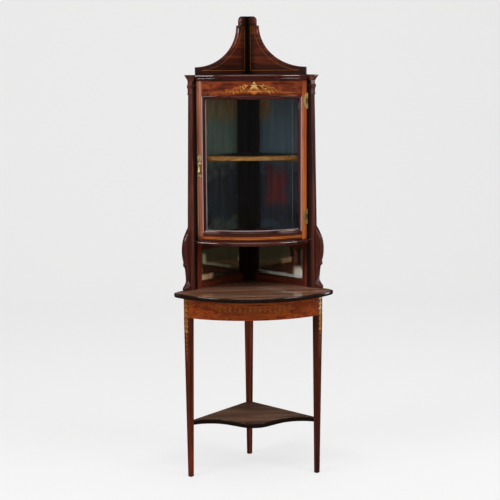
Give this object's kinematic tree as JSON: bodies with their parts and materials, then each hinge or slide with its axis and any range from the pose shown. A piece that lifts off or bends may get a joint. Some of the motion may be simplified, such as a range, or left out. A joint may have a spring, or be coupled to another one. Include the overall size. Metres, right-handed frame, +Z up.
{
  "type": "corner curio cabinet",
  "caption": "Corner display cabinet with a bow-fronted glazed door, mirrored back, curved gallery, open table top and low shelf on slender tapered legs.",
  "frame": {"origin": "on the floor under the middle of the bounding box", "axes": "+Z up; +Y from the bowed front to the room corner; +X to the right of someone who faces the door"},
  "size_m": [0.6402, 0.4799, 1.877],
  "materials": {
    "rosewood": "french polished, striped grain",
    "dark_rosewood": "french polished, near black-brown",
    "table_wood": "french polished, lighter brown",
    "boxwood": "waxed, golden",
    "pine": "bare",
    "mirror": "silvered glass",
    "glass": "clear, bowed",
    "brass": "polished, lightly worn",
    "steel": "plain"
  },
  "bodies": {
    "carcase": {"backboard_left": "pine", "backboard_right": "pine", "base_moulding": "dark_rosewood", "bottom_rail_left": "rosewood", "bottom_rail_right": "rosewood", "bracket_left": "dark_rosewood", "bracket_right": "dark_rosewood", "cabinet_floor": "rosewood", "cabinet_top": "rosewood", "corner_post": "rosewood", "corner_stile_left": "rosewood", "corner_stile_right": "rosewood", "cornice_end_left": "dark_rosewood", "cornice_end_right": "dark_rosewood", "cornice_front": "dark_rosewood", "door_stop": "dark_rosewood", "frieze_front": "rosewood", "front_stile_left": "rosewood", "front_stile_right": "rosewood", "gallery_left": "rosewood", "gallery_right": "rosewood", "glue_blocks": "pine", "hinge_case_leaves": "brass", "hinge_pins": "brass", "jamb_left": "rosewood", "jamb_right": "rosewood", "leg_back": "dark_rosewood", "leg_front_left": "dark_rosewood", "leg_front_right": "dark_rosewood", "lower_mirror_left": "mirror", "lower_mirror_right": "mirror", "middle_rail_left": "rosewood", "middle_rail_right": "rosewood", "post_left": "dark_rosewood", "post_right": "dark_rosewood", "shelf": "rosewood", "shelf_battens": "pine", "shelf_edging": "boxwood", "side_rail_left": "rosewood", "side_rail_right": "rosewood", "table_top": "table_wood", "top_rail_left": "rosewood", "top_rail_right": "rosewood", "undertier": "table_wood", "upper_mirror_left": "mirror", "upper_mirror_right": "mirror"},
    "door": {"door_stile_left": "rosewood", "door_stile_right": "rosewood", "door_top_rail": "rosewood", "door_bottom_rail": "rosewood", "door_glass": "glass", "bead_left": "dark_rosewood", "bead_right": "dark_rosewood", "bead_top": "dark_rosewood", "bead_bottom": "dark_rosewood", "hinge_door_leaves": "brass", "handle_plate": "brass", "pull_post": "brass", "lock_case": "steel"},
    "drop_pull": {"drop_pull": "brass"},
    "lock_bolt": {"lock_bolt": "steel"}
  },
  "joints": [
    {"name": "door_hinge", "type": "hinge", "parent": "carcase", "child": "door", "pos_m": [0.22069, -0.02467, 1.3], "axis": [0, 0, 1], "range_deg": [0, 100]},
    {"name": "drop_pull_swing", "type": "hinge", "parent": "door", "child": "drop_pull", "pos_m": [-0.21348, -0.03216, 1.29], "axis": [-0.8519, 0.5238, 0], "range_deg": [0, 70]},
    {"name": "lock_bolt_slide", "type": "slide", "parent": "door", "child": "lock_bolt", "axis": [-0.7071, 0.7071, 0], "range_m": [0, 0.006]}
  ]
}
